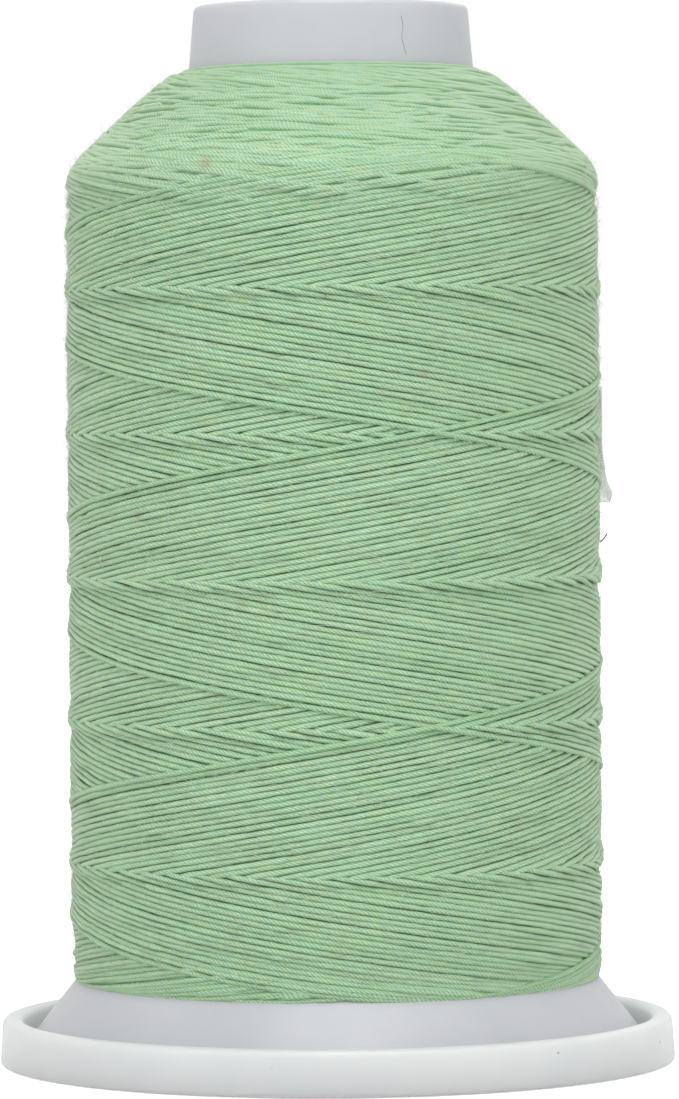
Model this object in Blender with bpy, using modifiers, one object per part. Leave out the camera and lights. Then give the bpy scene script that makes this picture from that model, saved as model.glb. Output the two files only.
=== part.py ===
"""Snap spool of sewing thread, closed and standing on its base.

A tapered plastic core with a flared skirt stands in a dished snap base. Cross-wound thread
fills the core from the skirt to the collar. The origin is the middle of the base's underside,
+Z runs up the spool's axis and -Y is the front.
"""

import math

import bmesh
import bpy
import numpy as np
from mathutils import Vector

MM = 0.001

# Snap base
BASE_DIAMETER = 52.0 * MM
RIM_HEIGHT = 3.5 * MM
RIM_WALL = 1.6 * MM
RIM_DRAFT = 0.25 * MM
RIM_EDGE_RADIUS = 0.55 * MM
BASE_EDGE_RADIUS = 0.35 * MM
FLOOR_THICKNESS = 1.4 * MM
FOOT_WIDTH = 5.5 * MM
FOOT_RECESS = 0.5 * MM
HUB_WALL = 1.2 * MM
HUB_HEIGHT = 6.0 * MM

# Snap ring of the base, in the bore under the core's skirt
SNAP_TRAVEL = 2.5 * MM
SNAP_RING_WALL = 1.3 * MM
SNAP_BEAD_HEIGHT = 1.0 * MM
SNAP_BEAD_REACH = 0.6 * MM
SNAP_LEAD_IN = 1.1 * MM
SNAP_FINGERS = 6
FINGER_SLOT_WIDTH = 1.4 * MM
FINGER_ROOT = 1.0 * MM

# Spool core
SPOOL_HEIGHT = 81.0 * MM
COLLAR_TOP_DIAMETER = 21.0 * MM
CORE_TAPER = math.radians(4.9)
CORE_WALL = 1.3 * MM
COLLAR_EDGE_RADIUS = 0.45 * MM
PIN_BORE_DIAMETER = 8.5 * MM
WEB_DEPTH = 2.6 * MM
WEB_THICKNESS = 1.2 * MM
BUSH_WALL = 1.2 * MM
BUSH_LENGTH = 8.0 * MM
SKIRT_FOOT_LAND = 0.7 * MM
SPIGOT_RISE = 2.4 * MM
SPIGOT_WALL = 1.7 * MM
SPIGOT_LIP = 1.2 * MM
GROOVE_ROOF = 1.6 * MM

# Thread
PACKAGE_DIAMETER = 40.8 * MM
COLLAR_SHOWING = 4.7 * MM
SHOULDER_LEAN = math.radians(46.0)
PACKAGE_EDGE_RADIUS = 1.2 * MM
FOOT_BAND_HEIGHT = 2.2 * MM
STRAND_DIAMETER = 0.42 * MM
SHOULDER_TURNS = 5
DOWN_STROKES = 4
TURNS_PER_STROKE = 2.625
STROKE_EDGE_GAP = 1.4 * MM
REVERSAL_ANGLE = math.radians(15.0)
LAYER_CHANGE_ANGLE = math.radians(30.0)
LAST_STROKE_SHARE = 0.94

# Film on the thread
TAPE_BOTTOM = 42.7 * MM
TAPE_HEIGHT = 9.0 * MM
TAPE_LENGTH = 14.0 * MM
TAPE_THICKNESS = 0.2 * MM
TAPE_FLARE = 0.7 * MM
TAPE_FLARE_HEIGHT = 4.0 * MM
TAPE_START = math.radians(1.0)

# Fits
CLEARANCE = 0.3 * MM
THREAD_LOCK_GAP = 0.9 * MM
LAYER_CLEARANCE = 0.62 * MM

# Facets
TURNED_STEPS = 48
FILLET_STEPS = 3
POINTS_PER_LOOP = 24
BEND_STEPS = 4
TAPE_STEPS = 8
MERGE_DISTANCE = 0.00001
SHARP_EDGE = math.radians(30.0)

# Places worked out from the sizes above
BASE_RADIUS = BASE_DIAMETER / 2
RIM_TOP_RADIUS = BASE_RADIUS - RIM_DRAFT
RIM_INNER_RADIUS = RIM_TOP_RADIUS - RIM_WALL
PIN_BORE_RADIUS = PIN_BORE_DIAMETER / 2
SKIRT_FOOT_Z = FLOOR_THICKNESS + CLEARANCE
SKIRT_FOOT_RADIUS = RIM_INNER_RADIUS - THREAD_LOCK_GAP
SKIRT_TOP_OF_LAND = SKIRT_FOOT_Z + SKIRT_FOOT_LAND
SPIGOT_BOTTOM = SKIRT_FOOT_Z + SPIGOT_RISE
GROOVE_BOTTOM = SPIGOT_BOTTOM + SPIGOT_LIP
BEAD_BOTTOM = GROOVE_BOTTOM + CLEARANCE + SNAP_TRAVEL
BEAD_TOP = BEAD_BOTTOM + SNAP_BEAD_HEIGHT
GROOVE_TOP = BEAD_TOP + CLEARANCE
SNAP_RING_TOP = BEAD_TOP + SNAP_LEAD_IN
SKIRT_ROOT_Z = GROOVE_TOP + GROOVE_ROOF


def core_radius(z):
    """Outside radius of the tapered tube."""
    return COLLAR_TOP_DIAMETER / 2 + (SPOOL_HEIGHT - z) * math.tan(CORE_TAPER)


SKIRT_SPREAD = SKIRT_FOOT_RADIUS - core_radius(SKIRT_ROOT_Z)
SKIRT_LEAN = math.atan2(SKIRT_SPREAD, SKIRT_ROOT_Z - SKIRT_TOP_OF_LAND)
WALL_ACROSS = CORE_WALL / math.cos(CORE_TAPER)
SKIRT_ACROSS = CORE_WALL / math.cos(SKIRT_LEAN)
SNAP_BORE_RADIUS = core_radius(SKIRT_ROOT_Z) - WALL_ACROSS
SPIGOT_RADIUS = SNAP_BORE_RADIUS + SPIGOT_WALL
SNAP_RING_RADIUS = SNAP_BORE_RADIUS - CLEARANCE
BEAD_RADIUS = SNAP_RING_RADIUS + SNAP_BEAD_REACH
GROOVE_RADIUS = BEAD_RADIUS + CLEARANCE


def skirt_height(radius):
    """Height at which the flared skirt's outside has this radius."""
    return SKIRT_TOP_OF_LAND + (SKIRT_FOOT_RADIUS - radius) / math.tan(SKIRT_LEAN)


PACKAGE_RADIUS = PACKAGE_DIAMETER / 2
STRAND_RADIUS = STRAND_DIAMETER / 2
STRAND_BEND = 2 * STRAND_DIAMETER
CHORD_SAG = PACKAGE_RADIUS * (1 - math.cos(math.pi / POINTS_PER_LOOP))
OUTER_LAYER_RADIUS = PACKAGE_RADIUS - STRAND_RADIUS
INNER_LAYER_RADIUS = OUTER_LAYER_RADIUS - STRAND_DIAMETER - LAYER_CLEARANCE
PLAIN_RADIUS = INNER_LAYER_RADIUS - STRAND_RADIUS - CLEARANCE - CHORD_SAG
PACKAGE_TOP = SPOOL_HEIGHT - COLLAR_SHOWING
FIRST_LOOP_Z = PACKAGE_TOP - STRAND_RADIUS
STRAND_START_RADIUS = core_radius(FIRST_LOOP_Z) + CLEARANCE
FIRST_LOOP_RADIUS = math.hypot(STRAND_START_RADIUS + STRAND_DIAMETER + STRAND_BEND, STRAND_BEND)
SHOULDER_SLOPE = math.tan(SHOULDER_LEAN)
LAST_LOOP_Z = FIRST_LOOP_Z - (OUTER_LAYER_RADIUS - FIRST_LOOP_RADIUS) / SHOULDER_SLOPE
STROKE_TOP = LAST_LOOP_Z - STROKE_EDGE_GAP
SKIRT_GAP = CLEARANCE / math.sin(SKIRT_LEAN)
PACKAGE_BOTTOM = skirt_height(PACKAGE_RADIUS) + SKIRT_GAP
FOOT_BAND_TOP = PACKAGE_BOTTOM + FOOT_BAND_HEIGHT
STROKE_BOTTOM = FOOT_BAND_TOP + STRAND_RADIUS + CLEARANCE


def make_collection(name, hidden=False):
    collection = bpy.data.collections.new(name)
    collection.hide_render = hidden
    bpy.context.scene.collection.children.link(collection)
    return collection


def make_material(name, colour, roughness, alpha=1.0):
    material = bpy.data.materials.new(name)
    material.use_nodes = True
    shader = material.node_tree.nodes["Principled BSDF"]
    shader.inputs["Base Color"].default_value = (*colour, 1.0)
    shader.inputs["Roughness"].default_value = roughness
    shader.inputs["Metallic"].default_value = 0.0
    shader.inputs["Alpha"].default_value = alpha
    return material


def add_object(name, data, material, collection, parent=None):
    obj = bpy.data.objects.new(name, data)
    collection.objects.link(obj)
    obj.parent = parent
    if material:
        data.materials.append(material)
    return obj


def rounded(corners):
    """Points of a closed (radius, height) outline whose corners are (radius, height, fillet)."""
    points = []
    for index, (r, z, fillet) in enumerate(corners):
        here = Vector((r, z))
        before = Vector(corners[index - 1][:2]) - here
        after = Vector(corners[(index + 1) % len(corners)][:2]) - here
        if not fillet:
            points.append(here)
            continue
        half_angle = before.angle(after) / 2
        reach = min(fillet / math.tan(half_angle), 0.45 * before.length, 0.45 * after.length)
        start = here + before.normalized() * reach
        end = here + after.normalized() * reach
        for step in range(FILLET_STEPS + 1):
            share = step / FILLET_STEPS
            points.append(start.lerp(here, share).lerp(here.lerp(end, share), share))
    return points


def revolved(name, outline, material, collection, parent):
    """A closed outline at +X turned about Z, with sharp edges kept sharp."""
    shape = bmesh.new()
    verts = [shape.verts.new((point.x, 0.0, point.y)) for point in outline]
    for index, vert in enumerate(verts):
        shape.edges.new((vert, verts[(index + 1) % len(verts)]))
    mesh = bpy.data.meshes.new(name)
    shape.to_mesh(mesh)
    shape.free()
    obj = add_object(name, mesh, material, collection, parent)
    screw = obj.modifiers.new("turned", "SCREW")
    screw.steps = TURNED_STEPS
    screw.render_steps = TURNED_STEPS
    screw.use_merge_vertices = True
    screw.merge_threshold = MERGE_DISTANCE
    graph = bpy.context.evaluated_depsgraph_get()
    turned_mesh = bpy.data.meshes.new_from_object(obj.evaluated_get(graph))
    obj.modifiers.clear()
    obj.data = turned_mesh
    bpy.data.meshes.remove(mesh)
    turned_mesh.name = name
    turned_mesh.shade_smooth()
    turned_mesh.set_sharp_from_angle(angle=SHARP_EDGE)
    return obj


def core_outline():
    """Collar, taper and skirt outside; snap bore, taper, web and bush inside."""
    inner_skirt_root = skirt_height(SPIGOT_RADIUS + SKIRT_ACROSS)
    web_top = SPOOL_HEIGHT - WEB_DEPTH
    web_bottom = web_top - WEB_THICKNESS
    bush_radius = PIN_BORE_RADIUS + BUSH_WALL
    bush_bottom = web_bottom - BUSH_LENGTH
    collar_radius = COLLAR_TOP_DIAMETER / 2
    foot_inner = SKIRT_FOOT_RADIUS - SKIRT_ACROSS
    return [
        (collar_radius, SPOOL_HEIGHT, COLLAR_EDGE_RADIUS),
        (core_radius(SKIRT_ROOT_Z), SKIRT_ROOT_Z, 0),
        (SKIRT_FOOT_RADIUS, SKIRT_TOP_OF_LAND, 0),
        (SKIRT_FOOT_RADIUS, SKIRT_FOOT_Z, 0),
        (foot_inner, SKIRT_FOOT_Z, 0),
        (foot_inner, SKIRT_TOP_OF_LAND, 0),
        (SPIGOT_RADIUS, inner_skirt_root, 0),
        (SPIGOT_RADIUS, SPIGOT_BOTTOM, 0),
        (SNAP_BORE_RADIUS, SPIGOT_BOTTOM, 0),
        (SNAP_BORE_RADIUS, GROOVE_BOTTOM, 0),
        (GROOVE_RADIUS, GROOVE_BOTTOM, 0),
        (GROOVE_RADIUS, GROOVE_TOP, 0),
        (SNAP_BORE_RADIUS, GROOVE_TOP, 0),
        (SNAP_BORE_RADIUS, SKIRT_ROOT_Z, 0),
        (core_radius(web_bottom) - WALL_ACROSS, web_bottom, 0),
        (bush_radius, web_bottom, 0),
        (bush_radius, bush_bottom, 0),
        (PIN_BORE_RADIUS, bush_bottom, 0),
        (PIN_BORE_RADIUS, web_top, COLLAR_EDGE_RADIUS),
        (core_radius(web_top) - WALL_ACROSS, web_top, 0),
        (collar_radius - WALL_ACROSS, SPOOL_HEIGHT, COLLAR_EDGE_RADIUS),
    ]


def base_outline():
    """Rim outside and floor below; hub, snap ring and dish floor above."""
    foot_inner = BASE_RADIUS - FOOT_WIDTH
    hub_radius = PIN_BORE_RADIUS + HUB_WALL
    hub_top = FLOOR_THICKNESS + HUB_HEIGHT
    ring_inner = SNAP_RING_RADIUS - SNAP_RING_WALL
    bead_middle = (BEAD_TOP + BEAD_BOTTOM) / 2
    lead_in_radius = SNAP_RING_RADIUS - CLEARANCE
    return [
        (RIM_TOP_RADIUS, RIM_HEIGHT, RIM_EDGE_RADIUS),
        (BASE_RADIUS, 0.0, BASE_EDGE_RADIUS),
        (foot_inner, 0.0, 0),
        (foot_inner, FOOT_RECESS, 0),
        (PIN_BORE_RADIUS, FOOT_RECESS, 0),
        (PIN_BORE_RADIUS, hub_top, BASE_EDGE_RADIUS),
        (hub_radius, hub_top, 0),
        (hub_radius, FLOOR_THICKNESS, 0),
        (ring_inner, FLOOR_THICKNESS, 0),
        (ring_inner, SNAP_RING_TOP, 0),
        (lead_in_radius, SNAP_RING_TOP, 0),
        (SNAP_RING_RADIUS, BEAD_TOP, 0),
        (BEAD_RADIUS, bead_middle, BASE_EDGE_RADIUS),
        (SNAP_RING_RADIUS, BEAD_BOTTOM, 0),
        (SNAP_RING_RADIUS, FLOOR_THICKNESS, 0),
        (RIM_INNER_RADIUS, FLOOR_THICKNESS, BASE_EDGE_RADIUS),
        (RIM_INNER_RADIUS, RIM_HEIGHT, RIM_EDGE_RADIUS),
    ]


def package_outline():
    """The wound body under the outer strand, with the dense band of reversals at its foot."""
    shoulder_build = STRAND_RADIUS + CLEARANCE + CHORD_SAG
    plain_top = FIRST_LOOP_Z - STRAND_RADIUS - CLEARANCE
    offset = shoulder_build / math.cos(SHOULDER_LEAN)
    top_radius = FIRST_LOOP_RADIUS + (FIRST_LOOP_Z - plain_top) * SHOULDER_SLOPE - offset
    corner_z = plain_top - (PLAIN_RADIUS - top_radius) / SHOULDER_SLOPE
    bore_bottom_z = SKIRT_ROOT_Z + SKIRT_GAP
    bore_top = core_radius(plain_top) + CLEARANCE
    bore_bottom = core_radius(bore_bottom_z) + CLEARANCE
    return [
        (top_radius, plain_top, 0),
        (PLAIN_RADIUS, corner_z, PACKAGE_EDGE_RADIUS),
        (PLAIN_RADIUS, FOOT_BAND_TOP, 0),
        (PACKAGE_RADIUS, FOOT_BAND_TOP, STRAND_DIAMETER),
        (PACKAGE_RADIUS, PACKAGE_BOTTOM, STRAND_DIAMETER),
        (bore_bottom, bore_bottom_z, 0),
        (bore_top, plain_top, 0),
    ]


def cut_finger_slots(base, cutters):
    """Slots through the snap ring that part it into sprung fingers."""
    slot_bottom = FLOOR_THICKNESS + FINGER_ROOT
    slot_height = SNAP_RING_TOP - slot_bottom + CLEARANCE
    slot_depth = SNAP_RING_WALL + 2 * (SNAP_BEAD_REACH + CLEARANCE)
    middle_radius = SNAP_RING_RADIUS - SNAP_RING_WALL / 2
    for finger in range(SNAP_FINGERS):
        angle = math.tau * (finger + 0.5) / SNAP_FINGERS
        shape = bmesh.new()
        bmesh.ops.create_cube(shape, size=1.0)
        bmesh.ops.scale(shape, vec=(slot_depth, FINGER_SLOT_WIDTH, slot_height), verts=shape.verts)
        mesh = bpy.data.meshes.new(f"finger_slot_{finger + 1}")
        shape.to_mesh(mesh)
        shape.free()
        cutter = add_object(mesh.name, mesh, None, cutters)
        middle = Vector((math.cos(angle), math.sin(angle), 0.0)) * middle_radius
        cutter.location = middle + Vector((0.0, 0.0, slot_bottom + slot_height / 2))
        cutter.rotation_euler.z = angle
        cutter.hide_render = True
        cutter.display_type = "WIRE"
        slot = base.modifiers.new(f"slot_{finger + 1}", "BOOLEAN")
        slot.operation = "DIFFERENCE"
        slot.solver = "EXACT"
        slot.object = cutter


def polar(radius, angle, z):
    return Vector((radius * math.cos(angle), radius * math.sin(angle), z))


def stroke_share(turned, span):
    """Share of a stroke's height covered after an angle, slowing to a stop at both reversals."""
    half = span / 2

    def eased(angle):
        return math.hypot(angle, REVERSAL_ANGLE) - REVERSAL_ANGLE

    if turned <= half:
        return 0.5 * eased(turned) / eased(half)
    return 1 - 0.5 * eased(span - turned) / eased(half)


def outer_share(to_reversal, from_reversal, going_down):
    """1 in the outer layer, where the strand goes down, and 0 in the inner one, where it goes up."""
    nearer = min(to_reversal, from_reversal)
    share = min(1.0, 0.5 + nearer / (2 * LAYER_CHANGE_ANGLE))
    eased = share * share * (3 - 2 * share)
    return eased if going_down else 1 - eased


def strand_path():
    """Centre line of the outer strand: in from the collar, down the shoulder, then up and down."""
    path = [polar(STRAND_START_RADIUS, 0.0, FIRST_LOOP_Z)]
    straight_end = STRAND_START_RADIUS + STRAND_DIAMETER
    for step in range(BEND_STEPS):
        bend = math.pi / 2 * step / BEND_STEPS
        x = straight_end + STRAND_BEND * math.sin(bend)
        y = STRAND_BEND * (1 - math.cos(bend))
        path.append(Vector((x, y, FIRST_LOOP_Z)))

    angle = math.atan2(STRAND_BEND, straight_end + STRAND_BEND)
    angle_step = math.tau / POINTS_PER_LOOP
    shoulder_steps = SHOULDER_TURNS * POINTS_PER_LOOP
    for step in range(shoulder_steps):
        share = step / shoulder_steps
        radius = FIRST_LOOP_RADIUS + (OUTER_LAYER_RADIUS - FIRST_LOOP_RADIUS) * share
        z = FIRST_LOOP_Z + (LAST_LOOP_Z - FIRST_LOOP_Z) * share
        path.append(polar(radius, angle + step * angle_step, z))
    angle += SHOULDER_TURNS * math.tau

    stroke_steps = round(TURNS_PER_STROKE * POINTS_PER_LOOP)
    span = stroke_steps * angle_step
    strokes = 2 * DOWN_STROKES - 1
    for stroke in range(strokes):
        going_down = stroke % 2 == 0
        top = LAST_LOOP_Z if stroke == 0 else STROKE_TOP
        steps = stroke_steps
        if stroke == strokes - 1:
            steps = round(stroke_steps * LAST_STROKE_SHARE)
        for step in range(steps):
            turned = step * angle_step
            share = stroke_share(turned, span)
            drop = share if going_down else 1 - share
            from_reversal = math.inf if stroke == 0 else turned
            outer = outer_share(span - turned, from_reversal, going_down)
            radius = INNER_LAYER_RADIUS + (OUTER_LAYER_RADIUS - INNER_LAYER_RADIUS) * outer
            z = top + (STROKE_BOTTOM - top) * drop
            path.append(polar(radius, angle + turned, z))
        angle += steps * angle_step

    last = path[-1]
    onward = (last - path[-2]).normalized()
    inward = -Vector((last.x, last.y, 0.0)).normalized()
    for step in range(1, BEND_STEPS + 1):
        bend = math.pi / 2 * step / BEND_STEPS
        path.append(last + STRAND_BEND * (onward * math.sin(bend) + inward * (1 - math.cos(bend))))
    run = math.hypot(path[-1].x, path[-1].y) - PLAIN_RADIUS - CLEARANCE
    path.append(path[-1] + inward * run)
    return path


def least_gap(path):
    """Least clear distance between runs of the strand that aren't neighbours along it."""
    splits = 12
    corners = np.array(path)
    shares = np.arange(splits)[:, None] / splits
    fine = np.concatenate([a + (b - a) * shares for a, b in zip(corners[:-1], corners[1:])])
    along = np.concatenate([[0.0], np.cumsum(np.linalg.norm(np.diff(fine, axis=0), axis=1))])
    apart = 12 * STRAND_DIAMETER
    least = math.inf
    for point, place in zip(fine, along):
        others = fine[along > place + apart]
        if len(others):
            least = min(least, np.linalg.norm(others - point, axis=1).min())
    return least - STRAND_DIAMETER


def build_strand(name, material, collection, parent):
    path = strand_path()
    curve = bpy.data.curves.new(name, "CURVE")
    curve.dimensions = "3D"
    curve.resolution_u = 1
    curve.bevel_depth = STRAND_RADIUS
    curve.bevel_resolution = 1
    curve.use_fill_caps = True
    spline = curve.splines.new("POLY")
    spline.points.add(len(path) - 1)
    for point, place in zip(spline.points, path):
        point.co = (*place, 1.0)
    print(f"{name}: least gap to itself {least_gap(path) / MM:.2f} mm")
    return add_object(name, curve, material, collection, parent)


def build_tape(name, material, collection, parent):
    """Film bent round the package, with its lower edge standing off the thread."""
    radius = PACKAGE_RADIUS + CLEARANCE
    profile = [
        (radius, TAPE_BOTTOM + TAPE_HEIGHT),
        (radius, TAPE_BOTTOM + TAPE_FLARE_HEIGHT),
        (radius + TAPE_FLARE / 4, TAPE_BOTTOM + TAPE_FLARE_HEIGHT / 2),
        (radius + TAPE_FLARE, TAPE_BOTTOM),
    ]
    shape = bmesh.new()
    verts = [shape.verts.new((r, 0.0, z)) for r, z in profile]
    for upper, lower in zip(verts, verts[1:]):
        shape.edges.new((upper, lower))
    mesh = bpy.data.meshes.new(name)
    shape.to_mesh(mesh)
    shape.free()
    tape = add_object(name, mesh, material, collection, parent)
    tape.rotation_euler.z = TAPE_START
    bend = tape.modifiers.new("bent", "SCREW")
    bend.angle = TAPE_LENGTH / radius
    bend.steps = TAPE_STEPS
    bend.render_steps = TAPE_STEPS
    film = tape.modifiers.new("film", "SOLIDIFY")
    film.thickness = TAPE_THICKNESS
    film.offset = 1.0
    return tape


def main():
    for obj in list(bpy.data.objects):
        bpy.data.objects.remove(obj)
    parts = make_collection("snap_spool_of_thread")
    cutters = make_collection("cutters", hidden=True)

    base_axis = bpy.data.objects.new("base_axis", None)
    spool_axis = bpy.data.objects.new("spool_axis", None)
    for axis in (base_axis, spool_axis):
        axis.empty_display_size = BASE_RADIUS
        parts.objects.link(axis)
    spool_axis.parent = base_axis

    white_base = make_material("base_white_plastic", (0.80, 0.81, 0.80), 0.42)
    white_core = make_material("core_white_plastic", (0.78, 0.79, 0.79), 0.42)
    package_green = make_material("package_green_thread", (0.33, 0.52, 0.32), 0.80)
    strand_green = make_material("strand_green_thread", (0.38, 0.58, 0.37), 0.75)
    clear_film = make_material("tape_clear_film", (0.85, 0.87, 0.85), 0.30, alpha=0.5)

    base = revolved("snap_base", rounded(base_outline()), white_base, parts, base_axis)
    cut_finger_slots(base, cutters)
    revolved("spool_core", rounded(core_outline()), white_core, parts, spool_axis)
    revolved("thread_package", rounded(package_outline()), package_green, parts, spool_axis)
    build_strand("outer_winding", strand_green, parts, spool_axis)
    build_tape("tail_tape", clear_film, parts, spool_axis)


main()
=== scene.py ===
"""Snap spool of sewing thread: white moulded core and base, cross-wound green thread.

The thread is laid pass by pass on a map of the package, as a winder lays it, and what still
shows on the outside is made as strands.
"""

import math

import bmesh
import bpy
import numpy as np
from mathutils import Matrix, Vector


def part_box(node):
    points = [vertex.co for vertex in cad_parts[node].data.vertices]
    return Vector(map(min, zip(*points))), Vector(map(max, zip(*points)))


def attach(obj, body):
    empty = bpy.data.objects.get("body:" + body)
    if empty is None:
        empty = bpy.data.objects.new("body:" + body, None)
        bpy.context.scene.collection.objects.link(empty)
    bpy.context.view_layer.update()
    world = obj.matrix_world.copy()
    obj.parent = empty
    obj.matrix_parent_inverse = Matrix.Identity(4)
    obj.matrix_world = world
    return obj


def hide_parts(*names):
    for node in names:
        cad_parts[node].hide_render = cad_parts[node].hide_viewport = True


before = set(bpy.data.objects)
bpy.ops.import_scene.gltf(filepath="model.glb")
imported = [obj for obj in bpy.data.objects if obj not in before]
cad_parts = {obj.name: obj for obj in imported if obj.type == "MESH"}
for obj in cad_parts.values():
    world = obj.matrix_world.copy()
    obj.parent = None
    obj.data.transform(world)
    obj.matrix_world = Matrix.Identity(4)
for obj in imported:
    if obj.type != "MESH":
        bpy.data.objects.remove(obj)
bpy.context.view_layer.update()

MM = 0.001
SEED = 11

# Mouldings, in millimetres, as the CAD model has them
_, CORE_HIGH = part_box("spool_core")
BASE_LOW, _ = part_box("snap_base")
SPOOL_HEIGHT = CORE_HIGH.z / MM
COLLAR_RADIUS = 10.5
CORE_TAPER = math.tan(math.radians(4.9))
CORE_WALL = 1.3
WEB_RECESS = 2.6
WEB_THICKNESS = 1.2
PIN_BORE_RADIUS = 4.25
BUSH_WALL = 1.2
BUSH_LENGTH = 8.0
SKIRT_FOOT_RADIUS = 23.25
SKIRT_ROOT_Z = 11.0
SKIRT_LAND_Z = 2.4
SKIRT_FOOT_Z = 1.7
SPIGOT_WALL = 1.7
GROOVE_BELOW_ROOT = 1.6
GROOVE_HEIGHT = 4.1
GROOVE_DEPTH = 0.6
GROOVE_LIP = 1.2
BASE_RADIUS = 26.0
RIM_HEIGHT = 3.5
RIM_WALL = 1.6
RIM_DRAFT = 0.25
FLOOR_THICKNESS = 1.4
FOOT_RING_WIDTH = 5.5
FOOT_RECESS = 0.5
HUB_HEIGHT = 6.0
HUB_WALL = 1.2
SNAP_CLEARANCE = 0.3
SNAP_RING_WALL = 1.3
SNAP_RING_TOP = 10.2
SNAP_LEAD_IN = 0.3
BEAD_Z = 8.6
BEAD_HALF_HEIGHT = 0.5
BEAD_DEPTH = 0.6
SNAP_FINGERS = 6
FINGER_SLOT_WIDTH = 1.4
FINGER_ROOT = 1.0
FINGER_SLOT_TOP = 11.0
FINGER_SLOT_OVERCUT = 0.6
TURN_STEPS = 180
FILLET_STEPS = 5
FILLET_SHARE = 0.45
MERGE_DISTANCE = 0.001
SHARP_ANGLE = math.radians(28)

# Outline of the finished package, in millimetres
PACKAGE_RADIUS = 20.50
SHOULDER_Z = 68.6
SHOULDER_SLOPE = math.tan(math.radians(47.6))
SHOULDER_LEAD = 0.8
SHOULDER_BLEND = 1.4
THREAD_TOP = 76.0
EDGE_ROUNDING = 0.8
COLLAR_DRAW_IN = 0.75
COLLAR_DRAW_HEIGHT = 0.7
COLLAR_DRAW_LIMIT = 0.6
FOOT_DRAW_IN = 0.45
FOOT_DRAW_HEIGHT = 1.6
FOOT_DRAW_LIMIT = 1.0

# Winding, in millimetres and degrees. The last covers are laid whole, and of the older ones only
# the tips, which show on the shoulder.
STRAND = 0.455
COVERS = 12
FULL_COVERS = 2
COVER_BUILD = 0.70
FULL_BUILD = 1.45
FILL_GAP = 0.15
CYCLES = 48
STROKE_ANGLE = 3 * 360 - 180 / CYCLES
PASS_BOTTOM = 6.35
LEAD = 21.95
NEWEST_CROSSING_ANGLE = 21.0
NEWEST_CROSSING_Z = 48.5
DRIFT = 0.018
DRIFT_RATES = (0.13, 0.37, 0.9, 2.1)
TIP_SCATTER = 0.30
FULL_TIP_SCATTER = 0.15
TIP_REACH = 48
TIP_SPAN = 36
TIP_DWELL = 34

# Map of the package: a column to each degree, a row to each step of height in millimetres. A strand
# sinks by a share of its thickness into those below.
MAP_STEP = 0.1
MAP_ANGLES = 360
MAP_ROWS = 800
SUPPORT_ROWS = 1
SINKING = 0.05
TAUT_WINDOW = 3
LAYING_BLOCK = 150
BLOCK_OVERLAP = 6

# Settling and burying; the seat, the lowest, the highest and the tuck are shares of a strand
EASE_COLUMNS = 7
EASE_ROWS = 14
RELIEF = 0.52
CROWDING_ALLOWED = 0.8
CROWDING_SPAN = 0.5
SHOULDER_FLATTENING = 0.6
STRAND_SEAT = 0.6
LOWEST_STRAND = 1.0
HIGHEST_STRAND = 0.35
SHOWING_DEPTH = 0.06
SHOULDER_SHOWING_DEPTH = 0.4
SHOULDER_SHOWING_START = 1.0
RUN_MARGIN = 5
RUN_TUCK = 1.1

# Level turns against the collar, as (radius, height)
COLLAR_TURNS = ((11.25, 75.85), (11.64, 75.66), (12.05, 75.30))
COLLAR_TURN_ANGLE = 724.0
COLLAR_TURN_DRIFT = 0.07

# Strands: a ring of vertices every few degrees, with the ply's pitch in millimetres. Thickness and
# tone vary as shares.
STRAND_SIDES = 8
RING_STEP = 2
THICKNESS_RATE = 40
THICKNESS_DRIFT = 0.09
SHOULDER_SPREAD = 0.14
TONE_SPREAD = 0.08
LEAN_REACH = 0.2
PLY_PITCH = 1.85
PLY_LOBES = 5
THREAD_BANDS = {
    "thread_foot": (0.0, 20.0),
    "thread_lower_body": (20.0, 37.0),
    "thread_upper_body": (37.0, 54.0),
    "thread_top_body": (54.0, 66.0),
    "thread_shoulder": (66.0, 90.0),
}

# Wound body under the strands; the depths are in strands, the rest in millimetres
BODY_DEPTH = 1.2
BODY_EDGE_DEPTH = 1.0
BODY_SHOULDER_DEPTH = 0.72
BODY_EDGE_FOOT = 1.5
BODY_EDGE_ROOT = 3.0
BODY_BELOW_TOP = 0.6
BODY_CORE_Z = 12.0
BODY_GAP = 0.1

# Loose hairs. A real cotton fibre is about half as thick, too fine to show.
FIBRE = 0.03
FIBRES = 12000
FUZZ_POINTS = 3
FUZZ_ABOVE_FOOT = 0.3
FUZZ_SPLIT_Z = 41.0
FUZZ_BELOW_TOP = 0.6
FUZZ_REACH_SHAPE = 2.0
FUZZ_REACH = 0.06
FUZZ_ALONG = 0.9
FUZZ_UP = 0.35
FUZZ_BEND = 1.3
FUZZ_CURL = (1.2, 2.6)
FUZZ_ROOT = 0.15
FUZZ_LIFT = 0.1
FUZZ_TAPER = 0.6

# Stray fibres, through (degrees from the front, height, radius); the pale one lies on the collar
DARK_STRAY = ((86.5, 39.8, 20.5), (88.5, 40.0, 20.75), (91.0, 40.35, 21.0))
DARK_STRAY_THICKNESS = 0.12
PALE_STRAY = ((30.0, 79.7), (31.0, 79.0), (29.6, 78.2), (30.8, 77.3), (31.4, 76.8))
PALE_STRAY_THICKNESS = 0.05

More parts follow.
